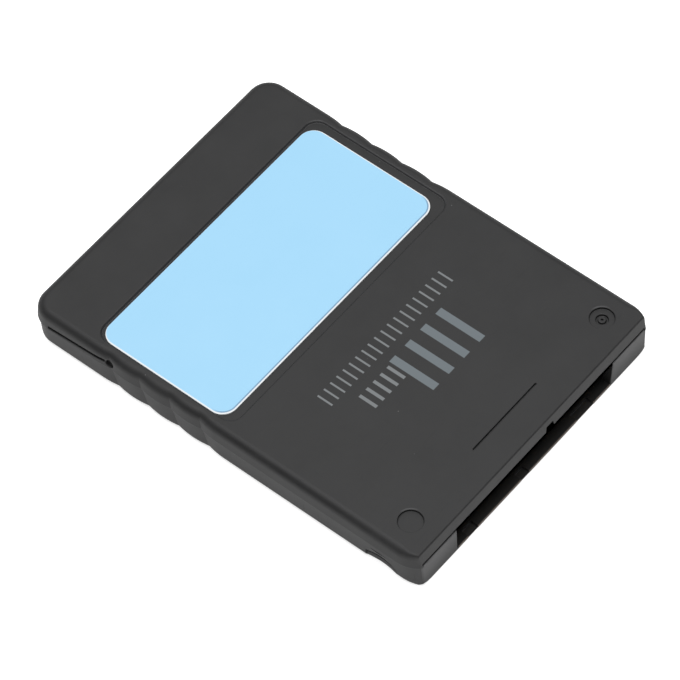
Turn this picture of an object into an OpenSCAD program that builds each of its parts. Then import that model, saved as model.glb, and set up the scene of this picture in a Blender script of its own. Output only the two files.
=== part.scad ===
// Console memory card: two moulded shells, a label in its recess, and a circuit
// board with a contact block behind the open slot at the contact end.
// The origin is on the underside, in the middle. X runs across the card, the
// contact end faces -Y, the grip end faces +Y and the label faces +Z.

/* [Card] */
// Width across the long sides, at the seam
card_w = 42; // [41:0.5:46]
// Length from the contact end to the grip end
card_l = 56; // [55:0.5:64]
// Height of the lower shell, from the floor to the seam
lower_h = 3.8; // [3.6:0.1:5]
// Height of the upper shell, from the seam to the plate
upper_h = 2.2; // [2:0.1:3]
// Radius of the corners at the grip end, seen from above
grip_corner_r = 2.8; // [2:0.1:4]
// Radius of the corners at the contact end, seen from above
end_corner_r = 3.8; // [3.2:0.1:4.6]
// How far the flat contact end cuts into its corner arcs
end_corner_cut = 1.2; // [0.9:0.1:1.5]
// Round between the plate and the walls
shoulder_r = 1.1; // [0.6:0.1:1.4]
// Round between the floor and the walls
belly_r = 1.1; // [0.6:0.1:1.6]
// What is left of both rounds round the contact end's face
toe_r = 0.25; // [0.1:0.05:0.5]
// Draft of each shell's walls, from the seam to where the round begins
draft = 0.12; // [0:0.02:0.2]
// How far the upper shell's contact end leans back
end_lean = 0.34; // [0:0.02:0.5]
// How far the lower shell's walls stand in from the upper shell's lip
step_in = 0.15; // [0.05:0.05:0.25]
// How much higher the seam runs across the contact end
end_rise = 0.5; // [0.3:0.05:0.7]
// Height of the shadow line in that seam
end_gap = 0.28; // [0.1:0.02:0.28]
// How far the higher stretch stops short of the long sides
end_rise_in = 1.35; // [1.3:0.05:1.8]

/* [Shell walls] */
// Wall of both shells
wall_t = 1.3; // [1.1:0.1:1.6]
// Thickness of the top plate
plate_t = 1.1; // [0.9:0.05:1.25]
// Thickness of the floor
floor_t = 0.9; // [0.7:0.05:1.1]
// Thickness of the tongue that stands up inside the seam
tongue_t = 0.45; // [0.35:0.05:0.55]
// Height of the tongue above the seam
tongue_h = 0.5; // [0.3:0.05:0.7]
// Play of the tongue in its rebate
tongue_gap = 0.08; // [0.04:0.02:0.14]

/* [Grip flutes] */
// Distance from one valley to the next
flute_pitch = 4.4; // [3.6:0.1:5]
// Number of valleys on each long side
flute_n = 4; // [2:1:5]
// Depth of a valley
flute_d = 0.22; // [0.1:0.02:0.4]
// How far a valley leans towards the grip end over the card's height
flute_lean = 1.2; // [0:0.1:2]
// Middle of the fluted stretch, from the middle of the card
flute_y = 9; // [7:0.5:12]
// How far the walls stand in behind the flutes
grip_step = 0.05; // [0:0.05:0.3]

/* [Label recess] */
// Rim between the recess and each long side
recess_rim = 1.8; // [1.7:0.1:4]
// Length of the recess
recess_l = 19.9; // [16:0.1:22]
// Distance of the recess from the grip end
recess_back = 8.9; // [8:0.1:10]
// Depth of the recess
recess_d = 0.3; // [0.2:0.05:0.5]
// Corner radius of the recess
recess_r = 1.6; // [1:0.1:2.4]
// Bare strip of the recess on the label's -X side
label_left = 0.05; // [0.02:0.01:1]
// Bare strip on its +X side
label_right = 1.1; // [0.02:0.01:2]
// Bare strip on its side towards the grip end
label_back = 0.35; // [0.05:0.05:1]
// Bare strip on its side towards the contact end
label_front = 1.1; // [0.05:0.05:2]
// Thickness of the label
label_t = 0.14; // [0.08:0.02:0.2]
// Corner radius of the label
label_r = 1.9; // [1:0.1:2.6]

/* [Plate marks] */
// Radius of the two round marks near the contact end
mark_r = 1.45; // [1:0.05:2]
// Distance of each mark from its long side
mark_side = 4.05; // [3.5:0.05:6]
// Distance of the marks from the contact end
mark_y = 3.9; // [3:0.1:6]
// Width of the ring-shaped groove in the mark on the +X side
mark_line = 0.26; // [0.1:0.02:0.3]
// Depth of the marks, of that groove below them and of the slit
mark_d = 0.3; // [0.08:0.02:0.36]
// Length of the slit across the plate
slit_w = 11.1; // [6:0.1:16]
// Width of the slit
slit_t = 0.2; // [0.12:0.02:0.4]
// Distance of the slit from the contact end
slit_y = 4.3; // [3:0.1:7]

/* [Contact slot] */
// Width of the slot in the contact end
slot_w = 27.8; // [25:0.2:28.6]
// Thickness of the lip under the slot
lip_t = 0.45; // [0.3:0.05:0.6]
// How far the thin lip runs in from the contact end
bay_l = 6.6; // [5:0.1:8]
// How much the slot's +X end narrows from its top down to the lip
slot_key = 0.45; // [0.1:0.05:0.6]
// Length of the notches sunk into the lip along the card
dip_l = 1.1; // [0.6:0.1:1.6]
// Thickness of the lip under those notches
dip_floor = 0.14; // [0.1:0.02:0.2]
// Middle of the latch cut in the slot's upper edge
latch_x = 2.65; // [-5:0.05:5]
// Width of the latch cut
latch_w = 1.65; // [1.2:0.05:3]
// Height of the latch cut above the seam
latch_h = 1.15; // [0.8:0.05:1.3]

/* [Side notches] */
// Length of the retaining notch in each lower wall
hold_l = 4.6; // [3.6:0.1:6]
// Depth of the retaining notch
hold_d = 0.62; // [0.3:0.02:0.7]
// Distance of the notch's square end from the contact end
hold_y = 7.3; // [6.6:0.1:9]
// Height over which the notch keeps its depth
hold_low = 1.1; // [0.5:0.1:1.6]
// Height at which the notch has run out
hold_high = 2.8; // [2:0.1:3]
// Height of the slit over the seam on the -X side
nick_h = 0.36; // [0.2:0.02:0.4]
// Length of that slit
nick_l = 8.3; // [5:0.1:8.4]
// How much the slit climbs from the grip end to the flutes
nick_rise = 0.75; // [0.5:0.05:0.8]
// Width of the small round hole at the slit's upper end
pick_w = 1.05; // [0.6:0.05:1.1]

/* [Board] */
// Gap between the board and each long wall
board_side = 0.9; // [0.3:0.1:1.6]
// Thickness of the circuit board
board_t = 0.8; // [0.6:0.1:1]
// Space under the board
under_h = 1.7; // [1.6:0.05:1.9]
// Gap between the board and the wall at the grip end
board_gap = 0.5; // [0.3:0.1:1]
// Distance of the posts from the long sides
post_side = 5.5; // [4.5:0.1:6]
// Distance between the two rows of posts
post_span = 30; // [26:1:32]
// Radius of a post
post_r = 1.6; // [1.3:0.1:1.9]
// Radius of the peg on a post
peg_r = 0.7; // [0.5:0.05:0.9]
// Play round a peg in the board and in the upper shell
peg_gap = 0.1; // [0.05:0.05:0.2]
// How far a peg stands out above the board
peg_h = 0.6; // [0.4:0.1:1]

/* [Contacts] */
// Distance of the outer contacts' middles from the slot's ends
contact_side = 3.4; // [3.1:0.1:3.4]
// Width of a contact
contact_w = 1.7; // [1.2:0.1:1.7]
// Thickness of a contact
contact_t = 0.2; // [0.15:0.01:0.25]
// Gap between the contact end's wall and the block behind the contacts' noses
block_gap = 0.05; // [0.03:0.01:0.2]
// Length of a contact along the card
contact_l = 10; // [9:0.1:11]
// Height of the bent nose of a contact
contact_nose = 0.75; // [0.5:0.05:0.9]
// Depth of the block behind the contacts' noses
block_l = 7.2; // [6.5:0.1:8]
// How far the block reaches past each end of the slot
block_over = 1.5; // [1.2:0.1:2]
// Thickness of the two walls that part the contacts
divider_t = 0.7; // [0.5:0.1:0.7]

/* [Components] */
// Length of the memory chip's body
memory_w = 18.4; // [16:0.1:20]
// Width of the memory chip's body
memory_l = 12; // [10:0.1:13]
// Height of the memory chip over the board
memory_h = 1.15; // [1:0.05:1.25]
// Distance of the memory chip's middle from the board's front edge
memory_at = 29; // [26:0.5:34]
// Number of leads at each end of the memory chip
memory_leads = 24; // [16:1:28]
// Reach of the memory chip's leads
memory_reach = 0.8; // [0.5:0.1:1]
// Distance of the controller chip's middle from the board's front edge
controller_at = 16; // [15:0.5:20]
// Distance of the controller chip's middle from the card's middle line
controller_off = 2; // [0:0.5:4]
// Side of the controller chip's body
controller_w = 10; // [8:0.1:11]
// Height of the controller chip under the board
controller_h = 1.45; // [1.2:0.05:1.5]
// Number of leads on each side of the controller chip
controller_leads = 11; // [8:1:12]
// Distance of the parts on top of the board from its front edge
top_row = 11; // [9:0.5:12]
// Distance of the parts under the board from its front edge
under_row = 9; // [8:0.5:9.5]
// Gap between the outer parts and what they stand beside
part_gap = 0.4; // [0.3:0.05:0.6]
// Distance between neighbouring resistors
resistor_pitch = 1.7; // [1.3:0.1:2]
// Length of the bulk capacitor
bulk_l = 3.5; // [3:0.1:4]
// Length of the clock crystal
crystal_w = 5; // [3.2:0.1:6]
// Height of the clock crystal
crystal_h = 1.1; // [0.8:0.05:1.3]

/* [Hidden] */

card_h = lower_h + upper_h;
half_w = card_w / 2;
half_l = card_l / 2;
end_y = -half_l;
board_z = floor_t + under_h;
board_top = board_z + board_t;
plate_z = card_h - plate_t;
cut = 0.01;
arc_fn = 48;
lip_dips = [[-11.05, 1.7], [-1.85, 1.4], [8.9, 3]];
shell_color = [0.16, 0.16, 0.165];
metal_color = [0.78, 0.66, 0.36];
tin_color = [0.75, 0.75, 0.77];
chip_color = [0.1, 0.1, 0.11];

// Walls inside the shells
inner_x = half_w - wall_t;
inner_front = end_y + wall_t;
inner_back = half_l - wall_t;
inner_r = (grip_corner_r - wall_t) * 0.65;

// Recess and label, from the grip end and the long sides
recess_x = half_w - recess_rim;
recess_y1 = half_l - recess_back;
recess_y0 = recess_y1 - recess_l;
mark_x = half_w - mark_side;

// Contacts and the block that carries them
contact_n = 8;
contact_pitch = (slot_w - 2 * contact_side) / (contact_n - 1);
block_front = inner_front + block_gap;
nose_y = block_front - contact_t;
block_x = slot_w / 2 + block_over;
block_top = lower_h + end_rise - 0.1;
block_leg = 1.1;

// Board behind the block, and its posts in two rows about its middle
board_x = inner_x - board_side;
board_front = block_front + block_l;
board_back = inner_back - board_gap;
board_mid = (board_front + board_back) / 2;
post_x = half_w - post_side;
post_rows = [board_mid - post_span / 2, board_mid + post_span / 2];
outer_x = post_x - post_r - part_gap;
post_spots = [for (x = [-post_x, post_x]) for (y = post_rows) [x, y]];

// Where the flutes begin and end along the card
flute_back = flute_y + flute_pitch * flute_n / 2;
flute_front = flute_y - flute_pitch * flute_n / 2;
flute_steps = 8;

// Shape of the outside.

// Distance of a fluted wall from the full width, at a place along the card
function flute_in(y) =
    let (u = (y - flute_front) / flute_pitch,
         to_valley = abs(u - floor(u) - 0.5),
         plain = y <= flute_front || y >= flute_back)
    plain ? 0 : flute_d * 4 * pow(to_valley - 0.5, 2);

// Step of the wall from the full width to the grip's width, over the first flute
function step_at(y) = grip_step * max(0, min(1, (y - flute_front) / (flute_pitch / 2)));

// One long side of the outline at height z and inset d, from the contact end on.
// The corner arcs run past the contact end, where end_profile() cuts them off, and
// there the inset is only e, so that both rounds fade out round the corners.
function side_points(z, d, e) =
    let (er = end_corner_r,
         ex = half_w - end_corner_r,
         ey = end_y + end_corner_r - end_corner_cut,
         gr = grip_corner_r - d,
         gx = half_w - grip_step - grip_corner_r,
         gy = half_l - grip_corner_r,
         lean = flute_lean * (z / card_h - 0.5),
         n = flute_n * flute_steps)
    concat(
        [for (i = [0:12]) let (a = 7.5 * i - 90, r = er - e - (d - e) * max(0, i / 6 - 1))
            [ex + r * cos(a), ey + r * sin(a)]],
        [for (i = [0:n]) let (y = flute_front + (flute_back - flute_front) * i / n)
            [half_w - d - step_at(y) - flute_in(y), y + lean]],
        [for (i = [0:9]) let (a = 10 * i) [gx + gr * cos(a), gy + gr * sin(a)]]);

// The whole outline, anticlockwise
function outline(z, d, e) =
    let (side = side_points(z, d, e))
    concat(side, [for (i = [len(side) - 1:-1:0]) [-side[i][0], side[i][1]]]);

// A solid through outlines at rising heights, each given as height and two insets
module moulding(levels) {
    rings = [for (v = levels) outline(v[0], v[1], v[2])];
    n = len(rings[0]);
    m = len(rings);
    polyhedron(
        points = [for (k = [0:m - 1]) for (p = rings[k]) [p[0], p[1], levels[k][0]]],
        faces = concat(
            [[for (i = [0:n - 1]) i]],
            [for (k = [0:m - 2]) for (i = [0:n - 1]) let (j = (i + 1) % n)
                [k * n + i, (k + 1) * n + i, (k + 1) * n + j]],
            [for (k = [0:m - 2]) for (i = [0:n - 1]) let (j = (i + 1) % n)
                [k * n + i, (k + 1) * n + j, k * n + j]],
            [[for (i = [n - 1:-1:0]) (m - 1) * n + i]]),
        convexity = 6);
}

// How far a round of radius r has drawn in at some depth below its free edge
function drawn_in(depth, r) = depth >= r ? 0 : r - sqrt(r * r - pow(r - depth, 2));

// Heights and insets of a wall with a round of radius r at its free edge, going
// from the seam away; both ends are carried on so that end_profile() trims them flat
function wall_levels(h, r, extra) =
    let (last = 8,
         arc = [for (i = [0:last]) let (a = 90 * i / last, z = h - r + r * sin(a))
             [z, extra + draft + r * (1 - cos(a)), extra / 3 + draft + drawn_in(h - z, toe_r)]],
         over = arc[last] + (arc[last] - arc[last - 1]) / 2,
         side = draft / (h - r))
    concat([[-1, extra - side, extra / 3 - side]], [for (i = [0:last - 1]) arc[i]], [over]);

// Block that trims a shell to its contact end and to its two flat sides in Z: from
// the seam to its free face, where the edge keeps a small round
module end_profile(seam_z, free_z, lean) {
    up = sign(free_z - seam_z);
    turn = atan(lean / abs(free_z - seam_z));
    rotate([90, 0, 90]) linear_extrude(card_w + 4, center = true)
        polygon(concat(
            [[half_l + 2, free_z], [half_l + 2, seam_z], [end_y, seam_z]],
            [for (i = [0:4]) let (a = turn + (90 - turn) * i / 4,
                    mid = lean + toe_r * (1 - sin(turn)) / cos(turn))
                [end_y + mid - toe_r * cos(a), free_z - up * toe_r * (1 - sin(a))]]));
}

// Outside of the upper shell: drafted walls that turn over a round into the plate
module upper_form() {
    intersection() {
        moulding([for (v = wall_levels(upper_h, shoulder_r, 0)) [lower_h + v[0], v[1], v[2]]]);
        end_profile(lower_h, card_h, end_lean);
    }
}

// Outside of the lower shell: the same downwards, a step further in
module lower_form() {
    levels = wall_levels(lower_h, belly_r, step_in);
    intersection() {
        moulding([for (i = [len(levels) - 1:-1:0]) let (v = levels[i])
            [lower_h - v[0], v[1], v[2]]]);
        end_profile(lower_h, 0, 0);
    }
}

// A slab with round corners between two places in X, in Y and in Z
module round_slab(x, y, z, r) {
    translate([0, 0, z[0]]) linear_extrude(z[1] - z[0]) {
        translate([x[0] + r, y[0]]) square([x[1] - x[0] - 2 * r, y[1] - y[0]]);
        translate([x[0], y[0] + r]) square([x[1] - x[0], y[1] - y[0] - 2 * r]);
        for (cx = [x[0] + r, x[1] - r]) for (cy = [y[0] + r, y[1] - r])
            translate([cx, cy]) circle(r, $fn = arc_fn);
    }
}

// The hollow inside the walls between two heights, wider all round by some amount
module hollow(z, wider) {
    round_slab([-inner_x - wider, inner_x + wider], [inner_front - wider, inner_back + wider],
        z, inner_r + wider);
}

// Upper shell: plate, walls, rebate for the tongue and the bosses over the pegs
module top_shell() {
    color(shell_color) difference() {
        union() {
            difference() {
                upper_form();
                hollow([lower_h - cut, plate_z], 0);
                hollow([lower_h - cut, lower_h + tongue_h + tongue_gap], tongue_t + tongue_gap);
            }
            for (p = post_spots) translate([p[0], p[1], board_top])
                cylinder(h = plate_z - board_top + cut, r = post_r, $fn = arc_fn);
        }
        for (p = post_spots) translate([p[0], p[1], board_top - cut])
            cylinder(h = peg_h + peg_gap + cut, r = peg_r + peg_gap, $fn = arc_fn);
        round_slab([-recess_x, recess_x], [recess_y0, recess_y1], [card_h - recess_d, card_h + 1], recess_r);
        plate_marks();
        end_seam(end_rise, tongue_gap);
        latch_cut();
        seam_nick();
    }
}

// Round marks near the contact end, sunk into the plate, one with a ring-shaped
// groove and a dot in it, and the slit
module plate_marks() {
    for (x = [-mark_x, mark_x]) translate([x, end_y + mark_y, card_h - mark_d])
        cylinder(h = 1, r = mark_r, $fn = arc_fn);
    translate([mark_x, end_y + mark_y, card_h - 2 * mark_d]) {
        difference() {
            cylinder(h = 1, r = mark_r / 2, $fn = arc_fn);
            translate([0, 0, -1]) cylinder(h = 3, r = mark_r / 2 - mark_line, $fn = arc_fn);
        }
        cylinder(h = 1, r = mark_line / 2, $fn = arc_fn);
    }
    translate([-slit_w / 2, end_y + slit_y - slit_t / 2, card_h - mark_d])
        cube([slit_w, slit_t, 1]);
}

// The stretch of the contact end where the lower shell reaches higher than elsewhere,
// as a block with some play round it
module end_seam(rise, play) {
    x = half_w - end_rise_in + play;
    translate([-x, end_y - play * 10, lower_h - 1])
        cube([2 * x, wall_t + play * 10 + cut, 1 + rise]);
}

// Cut in the slot's upper edge, narrower at the top
module latch_cut() {
    translate([latch_x, inner_front + cut, lower_h]) rotate([90, 0, 0]) linear_extrude(wall_t + 1)
        polygon([
            [-latch_w / 2, -1], [latch_w / 2, -1], [latch_w / 2, 0],
            [latch_w * 0.4, latch_h], [-latch_w * 0.3, latch_h], [-latch_w / 2, 0]
        ]);
}

// Slit that climbs over the seam of the -X side to a small round hole, which lies
// in the first flute; neither goes through the lip
module seam_nick() {
    lip = wall_t - tongue_t - tongue_gap;
    hole_z = lower_h + nick_rise;
    hole_y = flute_back - flute_pitch / 2 + flute_lean * (hole_z / card_h - 0.5);
    slit_y1 = half_l - grip_corner_r - 0.3;
    slit_z = lower_h + 0.1;
    translate([-half_w - 1, 0, 0]) rotate([90, 0, 90]) linear_extrude(1 + lip * 0.6)
        polygon([
            [slit_y1 - nick_l, slit_z + nick_rise - nick_h / 2], [slit_y1, slit_z],
            [slit_y1, slit_z + nick_h], [slit_y1 - nick_l, slit_z + nick_rise + nick_h / 2]
        ]);
    translate([-half_w - 1, hole_y, hole_z]) rotate([0, 90, 0])
        cylinder(h = 1 + lip * 0.9, r = pick_w / 2, $fn = arc_fn);
}

// Lower shell: floor and walls, tongue, posts with pegs, and the slot over its lip
module bottom_shell() {
    color(shell_color) difference() {
        union() {
            difference() {
                lower_form();
                hollow([floor_t, lower_h + cut], 0);
            }
            difference() {
                hollow([lower_h - tongue_h, lower_h + tongue_h], tongue_t);
                hollow([lower_h - tongue_h - cut, lower_h + tongue_h + cut], 0);
            }
            end_seam(end_rise - end_gap, 0);
            for (p = post_spots) translate([p[0], p[1], floor_t - cut]) {
                cylinder(h = under_h + cut, r = post_r, $fn = arc_fn);
                cylinder(h = under_h + board_t + peg_h + cut, r = peg_r, $fn = arc_fn);
            }
        }
        slot();
        for (side = [-1, 1]) hold_notch(side);
    }
}

// Opening for the console's contacts, with notches sunk into the lip below it
module slot() {
    low_end = slot_w / 2 - slot_key;
    translate([0, inner_front + cut, 0]) rotate([90, 0, 0]) linear_extrude(wall_t + 1 + cut)
        polygon([
            [-slot_w / 2, lip_t], [low_end, lip_t], [slot_w / 2, lower_h], [slot_w / 2, card_h],
            [-slot_w / 2, card_h]
        ]);
    translate([-slot_w / 2, end_y - 1, lip_t]) cube([slot_w / 2 + low_end, bay_l + 1, floor_t]);
    for (n = lip_dips) translate([n[0] - n[1] / 2, end_y - 1, dip_floor])
        cube([n[1], 1 + dip_l, lip_t]);
}

// Scoop in the lower wall for the console's spring: square at one end, shallow at
// the other, full depth near the floor and run out above
module hold_notch(side) {
    deep_at = hold_l * 0.39;
    r = (pow(hold_l - deep_at, 2) + hold_d * hold_d) / (2 * hold_d);
    wall_x = half_w - step_in - draft / 2;
    intersection() {
        translate([side * (wall_x + r - hold_d), end_y + hold_y - deep_at, 0]) {
            translate([0, 0, -1]) cylinder(h = hold_low + 1, r = r, $fn = 120);
            translate([0, 0, hold_low - cut])
                cylinder(h = hold_high - hold_low, r1 = r, r2 = r - hold_d, $fn = 120);
        }
        translate([side * half_w - 3, end_y + hold_y - hold_l - 1, -1])
            cube([6, hold_l + 1, card_h]);
    }
}

// Printed label, stuck in the recess a little off its middle
module label() {
    color("lightskyblue")
        round_slab([-recess_x + label_left, recess_x - label_right],
            [recess_y0 + label_front, recess_y1 - label_back],
            [card_h - recess_d, card_h - recess_d + label_t], label_r);
}

// Circuit board with its peg holes
module circuit_board() {
    color("darkgreen") difference() {
        round_slab([-board_x, board_x], [board_front, board_back], [board_z, board_top], 1);
        for (p = post_spots) translate([p[0], p[1], board_z - cut])
            cylinder(h = board_t + 2 * cut, r = peg_r + peg_gap, $fn = arc_fn);
    }
}

// Where contact i stands across the card
function contact_x(i) = (i - (contact_n + 1) / 2) * contact_pitch;

// Block behind the slot: a shelf over the contacts, a leg at each end and two
// walls that hang between the groups of contacts
module contact_block() {
    hang = board_z - lip_t - 0.4;
    color(chip_color) {
        translate([-block_x, block_front, board_z])
            cube([2 * block_x, block_l, block_top - board_z]);
        for (x = [-block_x, block_x - block_leg]) translate([x, block_front, floor_t])
            cube([block_leg, block_l, board_z - floor_t + cut]);
        for (x = [-contact_pitch, contact_pitch])
            translate([x - divider_t / 2, block_front, board_z - hang])
                cube([divider_t, end_y + bay_l - 0.4 - block_front, hang + cut]);
    }
}

// One contact: a flat strip under the shelf and the board, with a bent nose in front
module contact(i) {
    r = contact_t * 1.5;
    color(metal_color) translate([contact_x(i) - contact_w / 2, 0, 0])
        rotate([90, 0, 90])
            linear_extrude(contact_w) difference() {
                union() {
                    translate([nose_y, board_z - contact_t]) square([contact_l, contact_t]);
                    translate([nose_y, board_z - contact_t]) square([contact_t, contact_nose + contact_t]);
                }
                difference() {
                    translate([nose_y - 1, board_z - contact_t - 1]) square([1 + r, 1 + r]);
                    translate([nose_y + r, board_z - contact_t + r]) circle(r, $fn = arc_fn);
                }
            }
}

// One gull-wing lead that leaves a chip along +X, standing on z = 0
module lead(reach, h, w) {
    t = 0.15;
    translate([-0.2, w / 2, 0]) rotate([90, 0, 0]) linear_extrude(w)
        polygon([
            [0, h], [0.2 + reach * 0.35, h], [0.2 + reach * 0.55, t], [0.2 + reach, t], [0.2 + reach, 0],
            [0.2 + reach * 0.45, 0], [0.2 + reach * 0.25, h - t], [0, h - t]
        ]);
}

// A chip body that stands just over the board, with its four edges sloped by the mould
module chip_body(w, l, h) {
    stand = 0.1;
    slope = 0.12;
    mid = (h + stand) / 2;
    for (k = [0, 1])
        translate([0, 0, mid]) mirror([0, 0, k]) linear_extrude(
            height = (h - stand) / 2, scale = [(w - 2 * slope) / w, (l - 2 * slope) / l])
                square([w, l], center = true);
}

// Memory chip on top of the board, with its leads at the two ends
module memory_chip() {
    color(chip_color) translate([0, board_front + memory_at, board_top]) {
        chip_body(memory_w, memory_l, memory_h);
        for (s = [0, 180]) for (i = [0:memory_leads - 1]) rotate([0, 0, s])
            translate([memory_w / 2, (i - (memory_leads - 1) / 2) * memory_l / (memory_leads + 0.5), 0])
                lead(memory_reach, memory_h * 0.6, 0.2);
    }
}

// Controller chip under the board, with leads on its four sides
module controller_chip() {
    pitch = controller_w / (controller_leads + 1.5);
    color(chip_color) translate([-controller_off, board_front + controller_at, board_z])
        mirror([0, 0, 1]) {
            chip_body(controller_w, controller_w, controller_h);
            for (s = [0:90:270]) for (i = [0:controller_leads - 1]) rotate([0, 0, s])
                translate([controller_w / 2, (i - (controller_leads - 1) / 2) * pitch, 0])
                    lead(controller_w / 10, controller_h * 0.6, 0.35);
        }
}

// Clock crystal: a metal can on a ceramic base
module clock_crystal() {
    w = crystal_w;
    l = w * 0.64;
    rim = w * 0.04;
    base = crystal_h * 0.35;
    color(tin_color) translate([outer_x - w / 2, board_front + top_row, board_top]) {
        translate([-w / 2, -l / 2, 0]) cube([w, l, base]);
        round_slab([rim - w / 2, w / 2 - rim], [rim - l / 2, l / 2 - rim],
            [base - cut, crystal_h], 2 * rim);
    }
}

// Voltage regulator with three short leads
module regulator() {
    w = 3;
    l = 1.6;
    color(chip_color) translate([w / 2 - outer_x, board_front + under_row, board_z])
        mirror([0, 0, 1]) {
            chip_body(w, l, 1.2);
            for (x = [-w / 3, w / 3]) translate([x, -l / 2, 0]) rotate([0, 0, -90]) lead(0.6, 0.7, 0.4);
            translate([0, l / 2, 0]) rotate([0, 0, 90]) lead(0.6, 0.7, 0.4);
        }
}

// A small block component: a body between two end caps, its middle at the origin
module end_capped(l, w, h, cap) {
    rim = 0.03;
    translate([-l / 2 + cap, -w / 2 + rim, rim]) cube([l - 2 * cap, w - 2 * rim, h - 2 * rim]);
    for (x = [-l / 2, l / 2 - cap]) translate([x, -w / 2, 0]) cube([cap, w, h]);
}

module bulk_capacitor() {
    color("goldenrod") translate([bulk_l / 2 - outer_x, board_front + top_row, board_top])
        end_capped(bulk_l, bulk_l * 0.8, 1.2, bulk_l / 7);
}

// Small ceramic capacitors on top of the board: two in the front row, two at the
// ends of the memory chip
module capacitor(i) {
    w = 1.25;
    away = part_gap * 2 + w / 2;
    beside = memory_w / 2 + memory_reach + part_gap + away;
    x = [bulk_l - outer_x + away, outer_x - crystal_w - away, -beside, beside][i - 1];
    y = i < 3 ? top_row : memory_at;
    color("burlywood") translate([x, board_front + y, board_top]) rotate([0, 0, 90])
        end_capped(2, w, 0.9, 0.4);
}

// Small resistors under the board, in a row that ends beside a post
module resistor(i) {
    l = 1.6;
    color(chip_color)
        translate([outer_x - l / 2 - (3 - i) * resistor_pitch, board_front + under_row, board_z])
            mirror([0, 0, 1]) rotate([0, 0, 90]) end_capped(l, l / 2, 0.5, 0.3);
}

top_shell();
bottom_shell();
label();
circuit_board();
contact_block();
for (i = [1:contact_n]) contact(i);
controller_chip();
memory_chip();
clock_crystal();
regulator();
bulk_capacitor();
for (i = [1:4]) capacitor(i);
for (i = [1:3]) resistor(i);
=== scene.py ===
import math

import bpy
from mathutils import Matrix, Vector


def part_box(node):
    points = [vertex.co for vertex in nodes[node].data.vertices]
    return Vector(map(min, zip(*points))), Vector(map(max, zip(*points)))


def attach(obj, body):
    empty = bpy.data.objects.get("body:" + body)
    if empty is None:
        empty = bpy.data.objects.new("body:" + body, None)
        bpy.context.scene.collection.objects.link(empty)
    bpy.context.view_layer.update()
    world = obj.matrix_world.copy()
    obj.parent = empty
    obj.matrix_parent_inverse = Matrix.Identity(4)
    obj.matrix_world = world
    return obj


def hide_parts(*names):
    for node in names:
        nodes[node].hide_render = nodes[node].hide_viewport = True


# console memory card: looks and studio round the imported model
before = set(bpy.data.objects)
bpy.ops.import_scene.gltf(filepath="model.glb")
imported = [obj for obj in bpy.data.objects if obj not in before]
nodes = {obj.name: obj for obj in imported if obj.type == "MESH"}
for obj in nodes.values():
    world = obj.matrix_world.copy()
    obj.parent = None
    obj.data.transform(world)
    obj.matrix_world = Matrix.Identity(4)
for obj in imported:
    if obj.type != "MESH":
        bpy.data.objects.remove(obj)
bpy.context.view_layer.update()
mm = 0.001
print("frame loaded:", len(nodes), "nodes")


# box of a node in millimetres, as (low, high)
def boxMm(nodeName):
    low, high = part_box(nodeName)
    return [c / mm for c in low], [c / mm for c in high]


# links a socket or sets a value on each input, by socket name or number
def fill(tree, made, inputs):
    for socket, value in inputs.items():
        if isinstance(value, bpy.types.NodeSocket):
            tree.links.new(value, made.inputs[socket])
        else:
            made.inputs[socket].default_value = value


def put(tree, kind, inputs=None, **settings):
    made = tree.nodes.new("ShaderNode" + kind)
    for name, value in settings.items():
        setattr(made, name, value)
    fill(tree, made, inputs or {})
    return made


def calc(tree, operation, *values):
    return put(tree, "Math", dict(enumerate(values)), operation=operation).outputs[0]


# 1 where a value lies between two limits, else 0
def inRange(tree, value, low, high):
    above = calc(tree, "GREATER_THAN", value, low)
    return calc(tree, "MULTIPLY", above, calc(tree, "LESS_THAN", value, high))


def blendColour(tree, factor, first, second, how="MIX"):
    return put(tree, "Mix", {0: factor, 6: first, 7: second}, data_type="RGBA", blend_type=how).outputs[2]


# value carried from one range to another, held at both ends
def spread(tree, value, fromLow, fromHigh, toLow=0.0, toHigh=1.0):
    return put(tree, "MapRange", {0: value, 1: fromLow, 2: fromHigh, 3: toLow, 4: toHigh}).outputs[0]


# 1 inside an outline and 0 outside it, from the distance to it and the softness of its edge
def inOutline(tree, away, edge):
    return spread(tree, calc(tree, "DIVIDE", away, edge), -1.0, 1.0, 1.0, 0.0)


def split(tree, vector):
    return put(tree, "SeparateXYZ", {0: vector}).outputs


# place on the piece in millimetres
def placeMm(tree):
    coord = put(tree, "TexCoord").outputs["Object"]
    return put(tree, "VectorMath", {0: coord, "Scale": 1 / mm}, operation="SCALE").outputs[0]


def newGroup(name, takes, gives):
    tree = bpy.data.node_groups.new(name, "ShaderNodeTree")
    for socketName, kind, value in takes:
        socket = tree.interface.new_socket(socketName, in_out="INPUT", socket_type="NodeSocket" + kind)
        if value is not None:
            socket.default_value = value
    for socketName, kind in gives:
        tree.interface.new_socket(socketName, in_out="OUTPUT", socket_type="NodeSocket" + kind)
    return tree, tree.nodes.new("NodeGroupInput").outputs, tree.nodes.new("NodeGroupOutput").inputs


def useGroup(tree, group, inputs):
    made = put(tree, "Group", node_tree=group)
    fill(tree, made, inputs)
    return made.outputs


grainLook = {"fineDetail": 2.0, "patches": 0.16, "patchDetail": 4.0, "patchRoughness": 0.55,
             "patchRange": (0.3, 0.7)}


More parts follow.
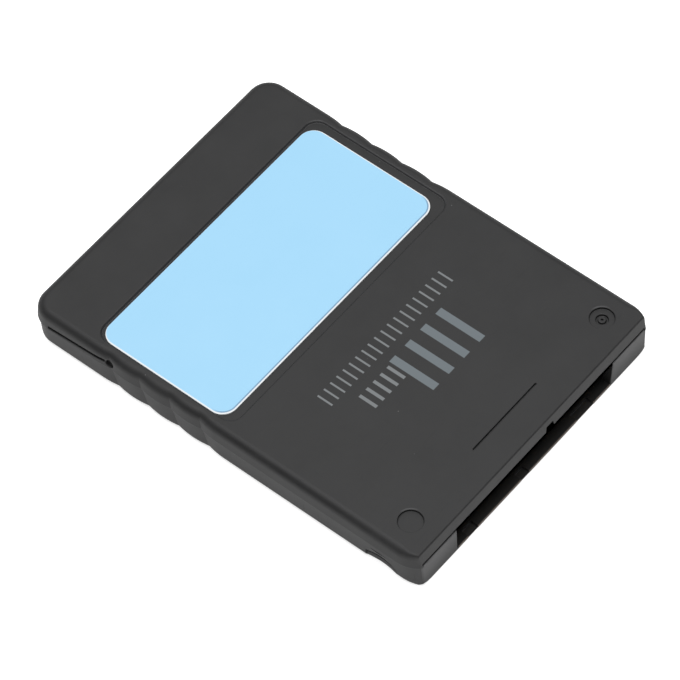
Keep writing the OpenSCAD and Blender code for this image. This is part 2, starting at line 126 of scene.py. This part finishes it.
# fine moulded or rolled grain: a height, and a roughness and a tone that change slowly
def makeGrain():
    tree, given, out = newGroup(
        "surfaceGrain",
        [("Place", "Vector", None), ("Grains per mm", "Float", 6.0),
         ("Low", "Float", 0.4), ("High", "Float", 0.5)],
        [("Height", "Float"), ("Roughness", "Float"), ("Tone", "Float")])
    fine = put(tree, "TexNoise", {"Vector": given["Place"], "Scale": given["Grains per mm"],
                                  "Detail": grainLook["fineDetail"]})
    slow = put(tree, "TexNoise", {"Vector": given["Place"], "Scale": grainLook["patches"],
                                  "Detail": grainLook["patchDetail"],
                                  "Roughness": grainLook["patchRoughness"]})
    patch = slow.outputs[0], *grainLook["patchRange"]
    tree.links.new(fine.outputs[0], out["Height"])
    tree.links.new(spread(tree, *patch, given["Low"], given["High"]), out["Roughness"])
    tree.links.new(spread(tree, *patch), out["Tone"])
    return tree


handlingLook = {
    "spotsPerMm": 0.9, "speckEdge": (0.04, 0.07),
    "strokes": ((0.5, 0.0), (-0.9, 37.0)),  # turn and offset of each set of scratches
    "stretch": (0.25, 9.0, 0.25), "strokeEdge": (0.735, 0.76),
}


# sparse pale dust specks and short hairline scratches
def makeHandling():
    tree, given, out = newGroup(
        "handling",
        [("Place", "Vector", None), ("Specks", "Float", 0.05), ("Scratches", "Float", 0.1)],
        [("Specks", "Float"), ("Scratches", "Float")])
    dots = put(tree, "TexVoronoi", {"Vector": given["Place"], "Scale": handlingLook["spotsPerMm"]})
    chosen = calc(tree, "LESS_THAN", split(tree, dots.outputs["Color"])[0], given["Specks"])
    near = spread(tree, dots.outputs["Distance"], *handlingLook["speckEdge"], 1.0, 0.0)
    tree.links.new(calc(tree, "MULTIPLY", chosen, near), out["Specks"])
    total = 0.0
    for turn, offset in handlingLook["strokes"]:
        turned = put(tree, "Mapping", {"Vector": given["Place"], "Location": (offset, offset, 0),
                                       "Rotation": (0, 0, turn), "Scale": handlingLook["stretch"]})
        hair = put(tree, "TexNoise", {"Vector": turned.outputs[0], "Scale": 1.0, "Detail": 1.0})
        total = calc(tree, "MAXIMUM", total, spread(tree, hair.outputs[0], *handlingLook["strokeEdge"]))
    tree.links.new(calc(tree, "MULTIPLY", total, given["Scratches"]), out["Scratches"])
    return tree


# rounded rectangle in X and Y: a mask, soft over a few hundredths of a millimetre, and the
# distance from its outline, which is negative inside
def makeField():
    tree, given, out = newGroup(
        "roundedField",
        [("Place", "Vector", None), ("Middle", "Vector", None), ("Half size", "Vector", None),
         ("Corner", "Float", 0.2), ("Edge", "Float", 0.03)],
        [("Mask", "Float"), ("Distance", "Float")])
    gap = put(tree, "VectorMath", {0: given["Place"], 1: given["Middle"]}, operation="SUBTRACT")
    gap = put(tree, "VectorMath", {0: gap.outputs[0]}, operation="ABSOLUTE")
    gap = put(tree, "VectorMath", {0: gap.outputs[0], 1: given["Half size"]}, operation="SUBTRACT")
    gapX, gapY, _ = split(tree, gap.outputs[0])
    gapX = calc(tree, "ADD", gapX, given["Corner"])
    gapY = calc(tree, "ADD", gapY, given["Corner"])
    outX = calc(tree, "MAXIMUM", gapX, 0.0)
    outY = calc(tree, "MAXIMUM", gapY, 0.0)
    squares = calc(tree, "ADD", calc(tree, "MULTIPLY", outX, outX), calc(tree, "MULTIPLY", outY, outY))
    inner = calc(tree, "MINIMUM", calc(tree, "MAXIMUM", gapX, gapY), 0.0)
    away = calc(tree, "ADD", calc(tree, "SQRT", squares), inner)
    away = calc(tree, "SUBTRACT", away, given["Corner"])
    tree.links.new(away, out["Distance"])
    tree.links.new(inOutline(tree, away, given["Edge"]), out["Mask"])
    return tree


# mask of upright bars, evenly spaced inside a field in X and Y
def makeBars():
    tree, given, out = newGroup(
        "printedBars",
        [("Place", "Vector", None), ("Left", "Float", 0.0), ("Low", "Float", 0.0), ("High", "Float", 1.0),
         ("Pitch", "Float", 1.0), ("Bar", "Float", 0.3), ("Count", "Float", 4.0), ("Edge", "Float", 0.015)],
        [("Mask", "Float")])
    x, y, _ = split(tree, given["Place"])
    step = calc(tree, "DIVIDE", calc(tree, "SUBTRACT", x, given["Left"]), given["Pitch"])
    number = calc(tree, "FLOOR", step)
    inStep = calc(tree, "MULTIPLY", calc(tree, "SUBTRACT", step, number), given["Pitch"])
    half = calc(tree, "MULTIPLY", given["Bar"], 0.5)
    fromBar = calc(tree, "ABSOLUTE", calc(tree, "SUBTRACT", inStep, half))
    side = calc(tree, "SUBTRACT", fromBar, half)
    height = calc(tree, "MULTIPLY", calc(tree, "SUBTRACT", given["High"], given["Low"]), 0.5)
    fromMiddle = calc(tree, "SUBTRACT", y, calc(tree, "ADD", given["Low"], height))
    end = calc(tree, "SUBTRACT", calc(tree, "ABSOLUTE", fromMiddle), height)
    ink = inOutline(tree, calc(tree, "MAXIMUM", side, end), given["Edge"])
    counted = inRange(tree, number, -0.5, calc(tree, "SUBTRACT", given["Count"], 0.5))
    tree.links.new(calc(tree, "MULTIPLY", ink, counted), out["Mask"])
    return tree


grain = makeGrain()
handling = makeHandling()
field = makeField()
bars = makeBars()


# material with its shader; constants go straight on the shader's sockets
def newMaterial(name, **constants):
    material = bpy.data.materials.new(name)
    material.use_nodes = True
    tree = material.node_tree
    shader = tree.nodes["Principled BSDF"]
    for socket, value in constants.items():
        shader.inputs[socket.replace("_", " ")].default_value = value
    return material, tree, shader


def feed(tree, shader, **sources):
    for socket, value in sources.items():
        tree.links.new(value, shader.inputs[socket.replace("_", " ")])


# grain with the fineness and the range of roughness that a look gives
def grainOf(tree, place, look):
    return useGroup(tree, grain, {"Place": place, "Grains per mm": look["grains"],
                                  "Low": look["roughLow"], "High": look["roughHigh"]})


def bump(tree, height, depthMm):
    return put(tree, "Bump", {"Height": height, "Distance": depthMm * mm, "Strength": 1.0}).outputs[0]


def dress(obj, material):
    for slot in obj.material_slots:
        slot.material = material


# cuts small facets round the two bottom corners of the contact end, which leave them blunt
def bluntToes(toe):
    radius = toe["radius"]
    for side in (-1, 1):
        middle = (side * toe["x"], toe["y"] + radius, radius)
        for turn in toe["turns"]:
            for fall in toe["falls"]:
                t, f = math.radians(turn), math.radians(fall)
                normal = (side * math.sin(t) * math.cos(f), -math.cos(t) * math.cos(f), -math.sin(f))
                spot = [(m + n * radius) * mm for m, n in zip(middle, normal)]
                bpy.ops.mesh.select_all(action="SELECT")
                bpy.ops.mesh.bisect(plane_co=spot, plane_no=normal, use_fill=True, clear_outer=True,
                                    threshold=toe["tolerance"] * mm)


# selects the steep or the level edges inside a block of |x|, y and z, in millimetres
def pickEdges(mesh, block, steep):
    picked = 0
    for edge in mesh.edges:
        ends = [mesh.vertices[k].co / mm for k in edge.vertices]
        across = ends[0] - ends[1]
        isSteep = abs(across.z) > 3 * max(abs(across.x), abs(across.y))  # rises three times its run
        edge.select = isSteep == steep and all(
            low <= value <= high for c in ends for value, (low, high) in zip((abs(c.x), c.y, c.z), block))
        picked += edge.select
    for vertex in mesh.vertices:
        vertex.select = False
    for face in mesh.polygons:
        face.select = False
    return picked


# merged, smoothed copy of a moulded shell, with its sharp edges broken a little
def shellSkin(look):
    node = nodes[look["node"]]
    skin = node.copy()
    skin.data = node.data.copy()
    skin.name = skin.data.name = look["piece"]
    for key in list(skin.keys()):
        del skin[key]
    skin.parent = None
    bpy.context.scene.collection.objects.link(skin)
    bpy.ops.object.select_all(action="DESELECT")
    skin.select_set(True)
    bpy.context.view_layer.objects.active = skin
    bpy.ops.mesh.customdata_custom_splitnormals_clear()
    bpy.ops.object.mode_set(mode="EDIT")
    bpy.ops.mesh.select_all(action="SELECT")
    bpy.ops.mesh.remove_doubles(threshold=look["merge"] * mm)
    bpy.ops.mesh.dissolve_limited(angle_limit=math.radians(look["flat"]))
    if "toe" in look:
        bluntToes(look["toe"])
    bpy.ops.mesh.select_mode(type="EDGE")
    bpy.ops.object.mode_set(mode="OBJECT")
    rounded = look["round"]
    print(look["piece"], "edges to round:", pickEdges(skin.data, rounded["block"], rounded["steep"]))
    bpy.ops.object.mode_set(mode="EDIT")
    bpy.ops.mesh.bevel(offset=rounded["by"] * mm, offset_type="OFFSET", segments=rounded["steps"],
                       loop_slide=False, clamp_overlap=False)
    bpy.ops.object.mode_set(mode="OBJECT")
    soften = skin.modifiers.new("brokenEdges", "BEVEL")
    soften.width = look["edge"] * mm
    soften.segments = look["edgeSteps"]
    soften.limit_method = "ANGLE"
    soften.angle_limit = math.radians(look["edgeAngle"])
    soften.use_clamp_overlap = False
    soften.miter_outer = "MITER_ARC"
    bpy.ops.object.modifier_apply(modifier=soften.name)
    bpy.ops.object.shade_smooth_by_angle(angle=math.radians(look["smooth"]))
    weighted = skin.modifiers.new("flatsKept", "WEIGHTED_NORMAL")
    weighted.keep_sharp = True
    weighted.weight = look["flatWeight"]
    bpy.ops.object.modifier_apply(modifier=weighted.name)
    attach(skin, "root")
    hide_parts(look["node"])
    print(look["piece"], "made:", len(skin.data.polygons), "faces")
    return skin


# lengths in millimetres, angles in degrees; "round" is one group of edges with a larger round
shellCopy = {"merge": 0.002, "flat": 0.3, "edge": 0.07, "edgeSteps": 2, "edgeAngle": 38, "smooth": 16,
             "flatWeight": 100}
topShell = {**shellCopy, "node": "top_shell", "piece": "topShellSkin",
            "round": {"by": 0.22, "steps": 6, "steep": False,  # upper edge of the label recess
                      "block": ((-1, 19.25), (-0.85, 19.15), (5.99, 6.01))}}
bottomShell = {**shellCopy, "node": "bottom_shell", "piece": "bottomShellSkin",
               "round": {"by": 0.18, "steps": 3, "steep": True,  # upright corners of the contact end
                         "block": ((19.6, 20.0), (-28.01, -27.97), (0.24, 3.81))},
               "toe": {"x": 19.45, "y": -28.0, "radius": 0.65, "turns": (14, 36), "falls": (25, 48, 70),
                       "tolerance": 0.0005}}
topSkin = shellSkin(topShell)
bottomSkin = shellSkin(bottomShell)

# charcoal moulded plastic with a fine satin grain
shellLook = {
    "ior": 1.5, "colour": (0.0075, 0.0075, 0.0080, 1), "paler": (0.0160, 0.0160, 0.0165, 1),
    "roughLow": 0.50, "roughHigh": 0.57, "grains": 5.0, "grainDepth": 0.006,
    "dust": (0.20, 0.20, 0.20, 1), "dustShare": 0.06, "dustCover": 0.5,
    "scratches": 0.5, "scratchRough": 0.15,
}

# painted shade: darker walls inside the slot, which are also duller; painted light: a paler front edge of
# the lip under it
slotLook = {
    "inside": ((-14.0, 14.0), (-27.92, -21.0), (0.3, 4.4)), "paintedShade": (0.0025, 0.0025, 0.0025, 1),
    "duller": 0.2,
    "lip": ((-13.6, 13.6), (-28.2, -27.9), (0.12, 0.47)), "pale": (0.14, 0.115, 0.095, 1),
}

# painted light: front wall beside the slot, paler towards its upper edge
paintedFrontLook = {"behind": -27.9, "rise": (0.9, 3.3), "pale": (0.062, 0.062, 0.064, 1)}

# painted light: paler far edges of the label recess and of the two round marks, which lighten their shaded
# walls and put a painted highlight on their rounded rims; each is a band at "out" from an outline, between
# two heights, that fades in over "far", counted in half sizes
recessEdge = {"middle": (0.0, 9.15, 0.0), "half": (19.2, 9.95, 1.0), "corner": 1.6, "out": (-0.26, 0.26)}
markEdge = {"half": (1.45, 1.45, 1.0), "corner": 1.45, "out": (0.05, 0.22), "height": (5.95, 6.05),
            "towards": (1.0, 1.0), "far": (1.15, 1.5)}
paintedEdgeLook = {
    "pale": (0.050, 0.050, 0.052, 1),
    "edges": [{**recessEdge, "height": (5.705, 5.985), "towards": (1.0, 0.0), "far": (0.92, 0.99)},
              {**recessEdge, "height": (5.705, 5.90), "towards": (0.0, 1.0), "far": (0.84, 0.98)},
              {**markEdge, "middle": (-16.95, -24.1, 0.0)},
              {**markEdge, "middle": (16.95, -24.1, 0.0)}],
}


# mask of a block of space, given in millimetres along the three axes
def within(tree, place, block):
    mask = 1.0
    for value, (low, high) in zip(split(tree, place), block):
        mask = calc(tree, "MULTIPLY", mask, inRange(tree, value, low, high))
    return mask


# painted light: mask on the front wall that grows towards its upper edge
def paintedFrontLight(tree, place):
    _, y, z = split(tree, place)
    inFront = calc(tree, "LESS_THAN", y, paintedFrontLook["behind"])
    return calc(tree, "MULTIPLY", inFront, spread(tree, z, *paintedFrontLook["rise"]))


# painted highlight: band along the far side of an outline, between two heights
def paintedEdgeLight(tree, place, edge):
    outline = useGroup(tree, field, {"Place": place, "Middle": edge["middle"], "Half size": edge["half"],
                                     "Corner": edge["corner"]})["Distance"]
    axes = split(tree, place)
    level = inRange(tree, axes[2], *edge["height"])
    band = calc(tree, "MULTIPLY", inRange(tree, outline, *edge["out"]), level)
    along = 0.0
    for k, towards in enumerate(edge["towards"]):
        off = calc(tree, "SUBTRACT", axes[k], edge["middle"][k])
        along = calc(tree, "ADD", along, calc(tree, "MULTIPLY", off, towards / edge["half"][k]))
    return calc(tree, "MULTIPLY", band, spread(tree, along, *edge["far"]))


# plain groups of bars on the plate, in millimetres
printLook = {
    "ink": (0.146, 0.172, 0.188, 1), "fineInk": (0.190, 0.202, 0.210, 1), "above": 5.95, "rough": 0.06,
    "fine": [{"Left": -10.6, "Low": -7.85, "High": -5.75, "Pitch": 1.095, "Bar": 0.24, "Count": 8.0},
             {"Left": -1.85, "Low": -7.85, "High": -5.75, "Pitch": 1.134, "Bar": 0.24, "Count": 12.0},
             {"Left": -7.85, "Low": -11.85, "High": -9.4, "Pitch": 1.22, "Bar": 0.42, "Count": 5.0}],
    "broad": [{"Left": -2.1, "Low": -15.35, "High": -9.1, "Pitch": 2.72, "Bar": 1.05, "Count": 4.0}],
}


def barMask(tree, place, groups):
    total = 0.0
    for each in groups:
        total = calc(tree, "MAXIMUM", total, useGroup(tree, bars, {"Place": place, **each})["Mask"])
    onPlate = calc(tree, "GREATER_THAN", split(tree, place)[2], printLook["above"])
    return calc(tree, "MULTIPLY", total, onPlate)


def shellPlastic(name, printed):
    material, tree, shader = newMaterial(name, IOR=shellLook["ior"])
    place = placeMm(tree)
    surface = grainOf(tree, place, shellLook)
    wear = useGroup(tree, handling, {"Place": place, "Specks": shellLook["dustShare"],
                                     "Scratches": shellLook["scratches"]})
    colour = blendColour(tree, surface["Tone"], shellLook["colour"], shellLook["paler"])
    scratched = calc(tree, "MULTIPLY", wear["Scratches"], shellLook["scratchRough"])
    rough = calc(tree, "ADD", surface["Roughness"], scratched)
    if printed:
        fine = barMask(tree, place, printLook["fine"])
        broad = barMask(tree, place, printLook["broad"])
        colour = blendColour(tree, fine, colour, printLook["fineInk"])
        colour = blendColour(tree, broad, colour, printLook["ink"])
        inked = calc(tree, "MAXIMUM", fine, broad)
        rough = calc(tree, "ADD", rough, calc(tree, "MULTIPLY", inked, printLook["rough"]))
        # painted highlights on the far edges of the label recess and of the two round marks
        for edge in paintedEdgeLook["edges"]:
            colour = blendColour(tree, paintedEdgeLight(tree, place, edge), colour, paintedEdgeLook["pale"])
    else:
        inside = within(tree, place, slotLook["inside"])
        # painted shade: the slot's inner walls get a darker colour than the shell's own
        colour = blendColour(tree, inside, colour, slotLook["paintedShade"])
        # painted light: the lip's front edge is coloured pale where it would catch light bounced from the
        # floor
        colour = blendColour(tree, within(tree, place, slotLook["lip"]), colour, slotLook["pale"])
        # painted light on the front wall, paler towards its upper edge
        colour = blendColour(tree, paintedFrontLight(tree, place), colour, paintedFrontLook["pale"])
        rough = calc(tree, "ADD", rough, calc(tree, "MULTIPLY", inside, slotLook["duller"]))
    dusty = calc(tree, "MULTIPLY", wear["Specks"], shellLook["dustCover"])
    feed(tree, shader, Base_Color=blendColour(tree, dusty, colour, shellLook["dust"]), Roughness=rough,
         Normal=bump(tree, surface["Height"], shellLook["grainDepth"]))
    return material


dress(topSkin, shellPlastic("shellPlasticPrinted", True))
dress(bottomSkin, shellPlastic("shellPlastic", False))
print("shell plastic done")

# pale blue film with a white margin and a deeper line along its front
labelLook = {
    "ior": 1.46, "blue": (0.384, 0.705, 0.950, 1), "blueDeep": (0.374, 0.696, 0.942, 1),
    "white": (0.87, 0.90, 0.92, 1),
    "line": (0.20, 0.36, 0.53, 1), "lineWide": 0.19, "lineEdge": 0.03, "lineEnds": (1.0, 2.2),
    "margin": 0.18, "thinMargin": 0.1,  # the thin one is on the +X side, and the grip side has none
    "corner": 1.9, "grains": 3.0, "grainDepth": 0.002, "roughLow": 0.44, "roughHigh": 0.52,
}


def labelFilm():
    material, tree, shader = newMaterial("labelFilm", IOR=labelLook["ior"])
    place = placeMm(tree)
    low, high = boxMm("label")
    left, right = low[0] + labelLook["margin"], high[0] - labelLook["thinMargin"]
    front, back = low[1] + labelLook["margin"], high[1]
    blueField = useGroup(tree, field, {
        "Place": place, "Middle": ((left + right) / 2, (front + back) / 2, 0),
        "Half size": ((right - left) / 2, (back - front) / 2, 1),
        "Corner": labelLook["corner"] - labelLook["margin"] / 2})
    lineStart = -labelLook["lineWide"]
    line = spread(tree, blueField["Distance"], lineStart, lineStart + labelLook["lineEdge"])
    fromFront = calc(tree, "SUBTRACT", split(tree, place)[1], low[1])
    line = calc(tree, "MULTIPLY", line, spread(tree, fromFront, *labelLook["lineEnds"], 1.0, 0.0))
    surface = grainOf(tree, place, labelLook)
    blue = blendColour(tree, surface["Tone"], labelLook["blue"], labelLook["blueDeep"])
    blue = blendColour(tree, line, blue, labelLook["line"])
    feed(tree, shader, Base_Color=blendColour(tree, blueField["Mask"], labelLook["white"], blue),
         Roughness=surface["Roughness"], Normal=bump(tree, surface["Height"], labelLook["grainDepth"]))
    return material


dress(nodes["label"], labelFilm())
print("label done")

# dark moulded resin of the contact block and the chips, and tin for the chips' leads
resinLook = {"ior": 1.5, "grains": 9.0, "grainDepth": 0.008, "paler": 1.35,
             "tin": (0.62, 0.61, 0.58, 1), "tinRough": 0.6, "bodyEdge": 0.01}
blockLook = {**resinLook, "colour": (0.006, 0.006, 0.006, 1), "roughLow": 0.45, "roughHigh": 0.6}
chipLook = {**resinLook, "colour": (0.014, 0.014, 0.015, 1), "roughLow": 0.5, "roughHigh": 0.62}
leadLengths = {"memory_chip": (0.8, 0), "regulator": (0, 0.6), "controller_chip": (1.0, 1.0)}  # in X and Y


# resin alone, or for a chip with tinned metal outside its body
def resin(name, look, nodeName=None):
    material, tree, shader = newMaterial(name, IOR=look["ior"])
    place = placeMm(tree)
    surface = grainOf(tree, place, look)
    paler = tuple(c * look["paler"] for c in look["colour"][:3]) + (1,)
    colour = blendColour(tree, surface["Tone"], look["colour"], paler)
    rough = surface["Roughness"]
    if nodeName:
        low, high = boxMm(nodeName)
        leadX, leadY = leadLengths[nodeName]
        inside = useGroup(tree, field, {
            "Place": place, "Middle": ((low[0] + high[0]) / 2, (low[1] + high[1]) / 2, 0),
            "Half size": ((high[0] - low[0]) / 2 - leadX, (high[1] - low[1]) / 2 - leadY, 1),
            "Corner": 0.0, "Edge": look["bodyEdge"]})["Mask"]
        colour = blendColour(tree, inside, look["tin"], colour)
        rough = calc(tree, "MULTIPLY", rough, spread(tree, inside, 0, 1, look["tinRough"], 1.0))
        feed(tree, shader, Metallic=calc(tree, "SUBTRACT", 1.0, inside))
    feed(tree, shader, Base_Color=colour, Roughness=rough,
         Normal=bump(tree, surface["Height"], look["grainDepth"]))
    return material


dress(nodes["contact_block"], resin("blockPlastic", blockLook))
for nodeName in leadLengths:
    dress(nodes[nodeName], resin(nodeName + "Resin", chipLook, nodeName))

metalLook = {"grains": 7.0, "grainDepth": 0.003}
contactLook = {**metalLook, "bright": (0.92, 0.66, 0.26, 1), "dull": (0.70, 0.46, 0.18, 1),
               "roughLow": 0.22, "roughHigh": 0.36}
crystalLook = {**metalLook, "bright": (0.70, 0.70, 0.70, 1), "dull": (0.55, 0.55, 0.56, 1),
               "roughLow": 0.25, "roughHigh": 0.4}


# metal with a faint tarnish
def metal(name, look):
    material, tree, shader = newMaterial(name, Metallic=1.0)
    place = placeMm(tree)
    surface = grainOf(tree, place, look)
    feed(tree, shader, Base_Color=blendColour(tree, surface["Tone"], look["bright"], look["dull"]),
         Roughness=surface["Roughness"], Normal=bump(tree, surface["Height"], look["grainDepth"]))
    return material


gold = metal("contactGold", contactLook)
for i in range(1, 9):
    dress(nodes[f"contact_{i}"], gold)
dress(nodes["clock_crystal"], metal("canMetal", crystalLook))

# green solder mask over copper tracks, bare laminate at the cut edge
boardLook = {
    "ior": 1.5, "mask": (0.010, 0.110, 0.040, 1), "track": (0.020, 0.190, 0.070, 1),
    "laminate": (0.42, 0.36, 0.20, 1), "grains": 4.0, "roughLow": 0.22, "roughHigh": 0.34,
    "trackGap": 0.09, "trackLong": 3.1, "trackPitch": 0.9, "trackSoft": 0.1, "trackRange": (0.3, 0.7),
    "faceUp": 0.7, "grainShare": 0.2, "depth": 0.02,
}


def boardResin():
    material, tree, shader = newMaterial("boardResin", IOR=boardLook["ior"])
    place = placeMm(tree)
    surface = grainOf(tree, place, boardLook)
    cells = put(tree, "TexBrick", {
        "Vector": place, "Scale": 1.0, "Mortar Size": boardLook["trackGap"],
        "Brick Width": boardLook["trackLong"], "Row Height": boardLook["trackPitch"],
        "Mortar Smooth": boardLook["trackSoft"]})
    tracks = spread(tree, cells.outputs["Fac"], *boardLook["trackRange"])
    colour = blendColour(tree, tracks, boardLook["mask"], boardLook["track"])
    upright = calc(tree, "ABSOLUTE", split(tree, put(tree, "NewGeometry").outputs["Normal"])[2])
    face = calc(tree, "GREATER_THAN", upright, boardLook["faceUp"])
    height = calc(tree, "ADD", tracks, calc(tree, "MULTIPLY", surface["Height"], boardLook["grainShare"]))
    feed(tree, shader, Base_Color=blendColour(tree, face, boardLook["laminate"], colour),
         Roughness=surface["Roughness"], Normal=bump(tree, height, boardLook["depth"]))
    return material


dress(nodes["circuit_board"], boardResin())

# "axis" is 0 for X and 1 for Y, "cap" the length of a tinned end, "stripe" a width beside one
smallPart = {"ior": 1.5, "grains": 10.0, "grainDepth": 0.006, "paler": 1.2, "tin": (0.66, 0.65, 0.62, 1)}
capacitorLook = {**smallPart, "axis": 1, "cap": 0.4, "body": (0.36, 0.24, 0.14, 1),
                 "roughLow": 0.35, "roughHigh": 0.5}
resistorLook = {**smallPart, "axis": 1, "cap": 0.3, "body": (0.02, 0.02, 0.022, 1),
                "roughLow": 0.3, "roughHigh": 0.45}
bulkLook = {**smallPart, "axis": 0, "cap": 0.5, "body": (0.62, 0.36, 0.05, 1),
            "roughLow": 0.4, "roughHigh": 0.5, "stripe": 0.5, "stripeInk": (0.16, 0.07, 0.02, 1)}


# small part with a coloured body between two tinned ends, and a stripe where one is given
def smallBody(nodeName, look):
    material, tree, shader = newMaterial(nodeName + "Body", IOR=look["ior"])
    place = placeMm(tree)
    low, high = (corner[look["axis"]] for corner in boxMm(nodeName))
    along = split(tree, place)[look["axis"]]
    away = calc(tree, "ABSOLUTE", calc(tree, "SUBTRACT", along, (low + high) / 2))
    end = calc(tree, "GREATER_THAN", away, (high - low) / 2 - look["cap"])
    surface = grainOf(tree, place, look)
    paler = tuple(c * look["paler"] for c in look["body"][:3]) + (1,)
    colour = blendColour(tree, surface["Tone"], look["body"], paler)
    if "stripe" in look:
        band = calc(tree, "GREATER_THAN", along, high - look["cap"] - look["stripe"])
        colour = blendColour(tree, band, colour, look["stripeInk"])
    feed(tree, shader, Base_Color=blendColour(tree, end, colour, look["tin"]), Metallic=end,
         Roughness=surface["Roughness"], Normal=bump(tree, surface["Height"], look["grainDepth"]))
    return material


for look, names in ((capacitorLook, [f"capacitor_{i}" for i in range(1, 5)]),
                    (resistorLook, [f"resistor_{i}" for i in range(1, 4)]),
                    (bulkLook, ["bulk_capacitor"])):
    for nodeName in names:
        dress(nodes[nodeName], smallBody(nodeName, look))
print("inside parts done")

# pale floor that turns white for the camera
floorLook = {"half": 3.0, "below": 0.02, "colour": (0.80, 0.80, 0.80, 1), "rough": 0.9,
             "lift": 0.72, "mirroredLift": 0.42}
bpy.ops.object.select_all(action="DESELECT")
bpy.ops.mesh.primitive_plane_add(size=2 * floorLook["half"], location=(0, 0, -floorLook["below"] * mm))
floor = bpy.context.object
floor.name = "floor"
floorMaterial, tree, shader = newMaterial("paleFloor", Roughness=floorLook["rough"],
                                          Base_Color=floorLook["colour"], Specular_IOR_Level=0)
rays = put(tree, "LightPath").outputs
mirrored = calc(tree, "MAXIMUM", rays["Is Glossy Ray"], rays["Is Transmission Ray"])
strength = calc(tree, "ADD", calc(tree, "MULTIPLY", rays["Is Camera Ray"], floorLook["lift"]),
                calc(tree, "MULTIPLY", mirrored, floorLook["mirroredLift"]))
glow = put(tree, "Emission", {"Color": (1, 1, 1, 1), "Strength": strength})
both = put(tree, "AddShader", {0: shader.outputs[0], 1: glow.outputs[0]})
tree.links.new(both.outputs[0], tree.nodes["Material Output"].inputs["Surface"])
floor.data.materials.append(floorMaterial)

# one broad lamp overhead
lampLook = {"size": 0.7, "height": 0.85, "power": 4.9}
bpy.ops.object.light_add(type="AREA", location=(0, 0, lampLook["height"]))
lamp = bpy.context.object
lamp.name = "overheadLamp"
lamp.data.size = lampLook["size"]
lamp.data.energy = lampLook["power"]

# dim surroundings, brighter upwards, and low down behind the object as seen from the camera
skyLook = {
    "stops": [(0.0, 0.15), (0.45, 0.16), (0.72, 0.42), (0.86, 0.60), (1.0, 0.85)],
    "behind": 0.55, "behindRange": (0.62, 0.86), "lowRange": (0.45, 0.75),
}
world = bpy.data.worlds.new("studioSurround")
world.use_nodes = True
bpy.context.scene.world = world
tree = world.node_tree
surround = tree.nodes["Background"]
across, along, up = split(tree, put(tree, "TexCoord").outputs["Generated"])
ramp = put(tree, "ValToRGB", {"Fac": up})
stops = ramp.color_ramp.elements
while len(stops) < len(skyLook["stops"]):
    stops.new(0.5)
for stop, (position, level) in zip(stops, skyLook["stops"]):
    stop.position = position
    stop.color = (level, level, level, 1)
away = calc(tree, "MULTIPLY", calc(tree, "ADD", across, along), math.sqrt(0.5))  # half way from +X to +Y
behind = spread(tree, away, *skyLook["behindRange"], 0.0, skyLook["behind"])
behind = calc(tree, "MULTIPLY", behind, spread(tree, up, *skyLook["lowRange"], 1.0, 0.0))
sky = blendColour(tree, behind, ramp.outputs["Color"], (1, 1, 1, 1), "ADD")
tree.links.new(sky, surround.inputs["Color"])
white = put(tree, "Background", {"Color": (1, 1, 1, 1), "Strength": 1.0})
isCamera = put(tree, "LightPath").outputs["Is Camera Ray"]
mixed = put(tree, "MixShader", {0: isCamera, 1: surround.outputs[0], 2: white.outputs[0]})
tree.links.new(mixed.outputs[0], tree.nodes["World Output"].inputs["Surface"])
bpy.context.scene.view_settings.view_transform = "Standard"
print("studio done")

# camera where the photo was taken from, for a square picture
cameraSetting = {"lens": 254.341, "sensor": 36.0, "place": (-0.22848330, -0.20930278, 0.44267592),
                 "turn": (0.60938818, 0.03870895, -0.88466129)}
bpy.ops.object.camera_add(location=cameraSetting["place"], rotation=cameraSetting["turn"])
camera = bpy.context.object
camera.data.lens = cameraSetting["lens"]
camera.data.sensor_width = cameraSetting["sensor"]
bpy.context.scene.camera = camera
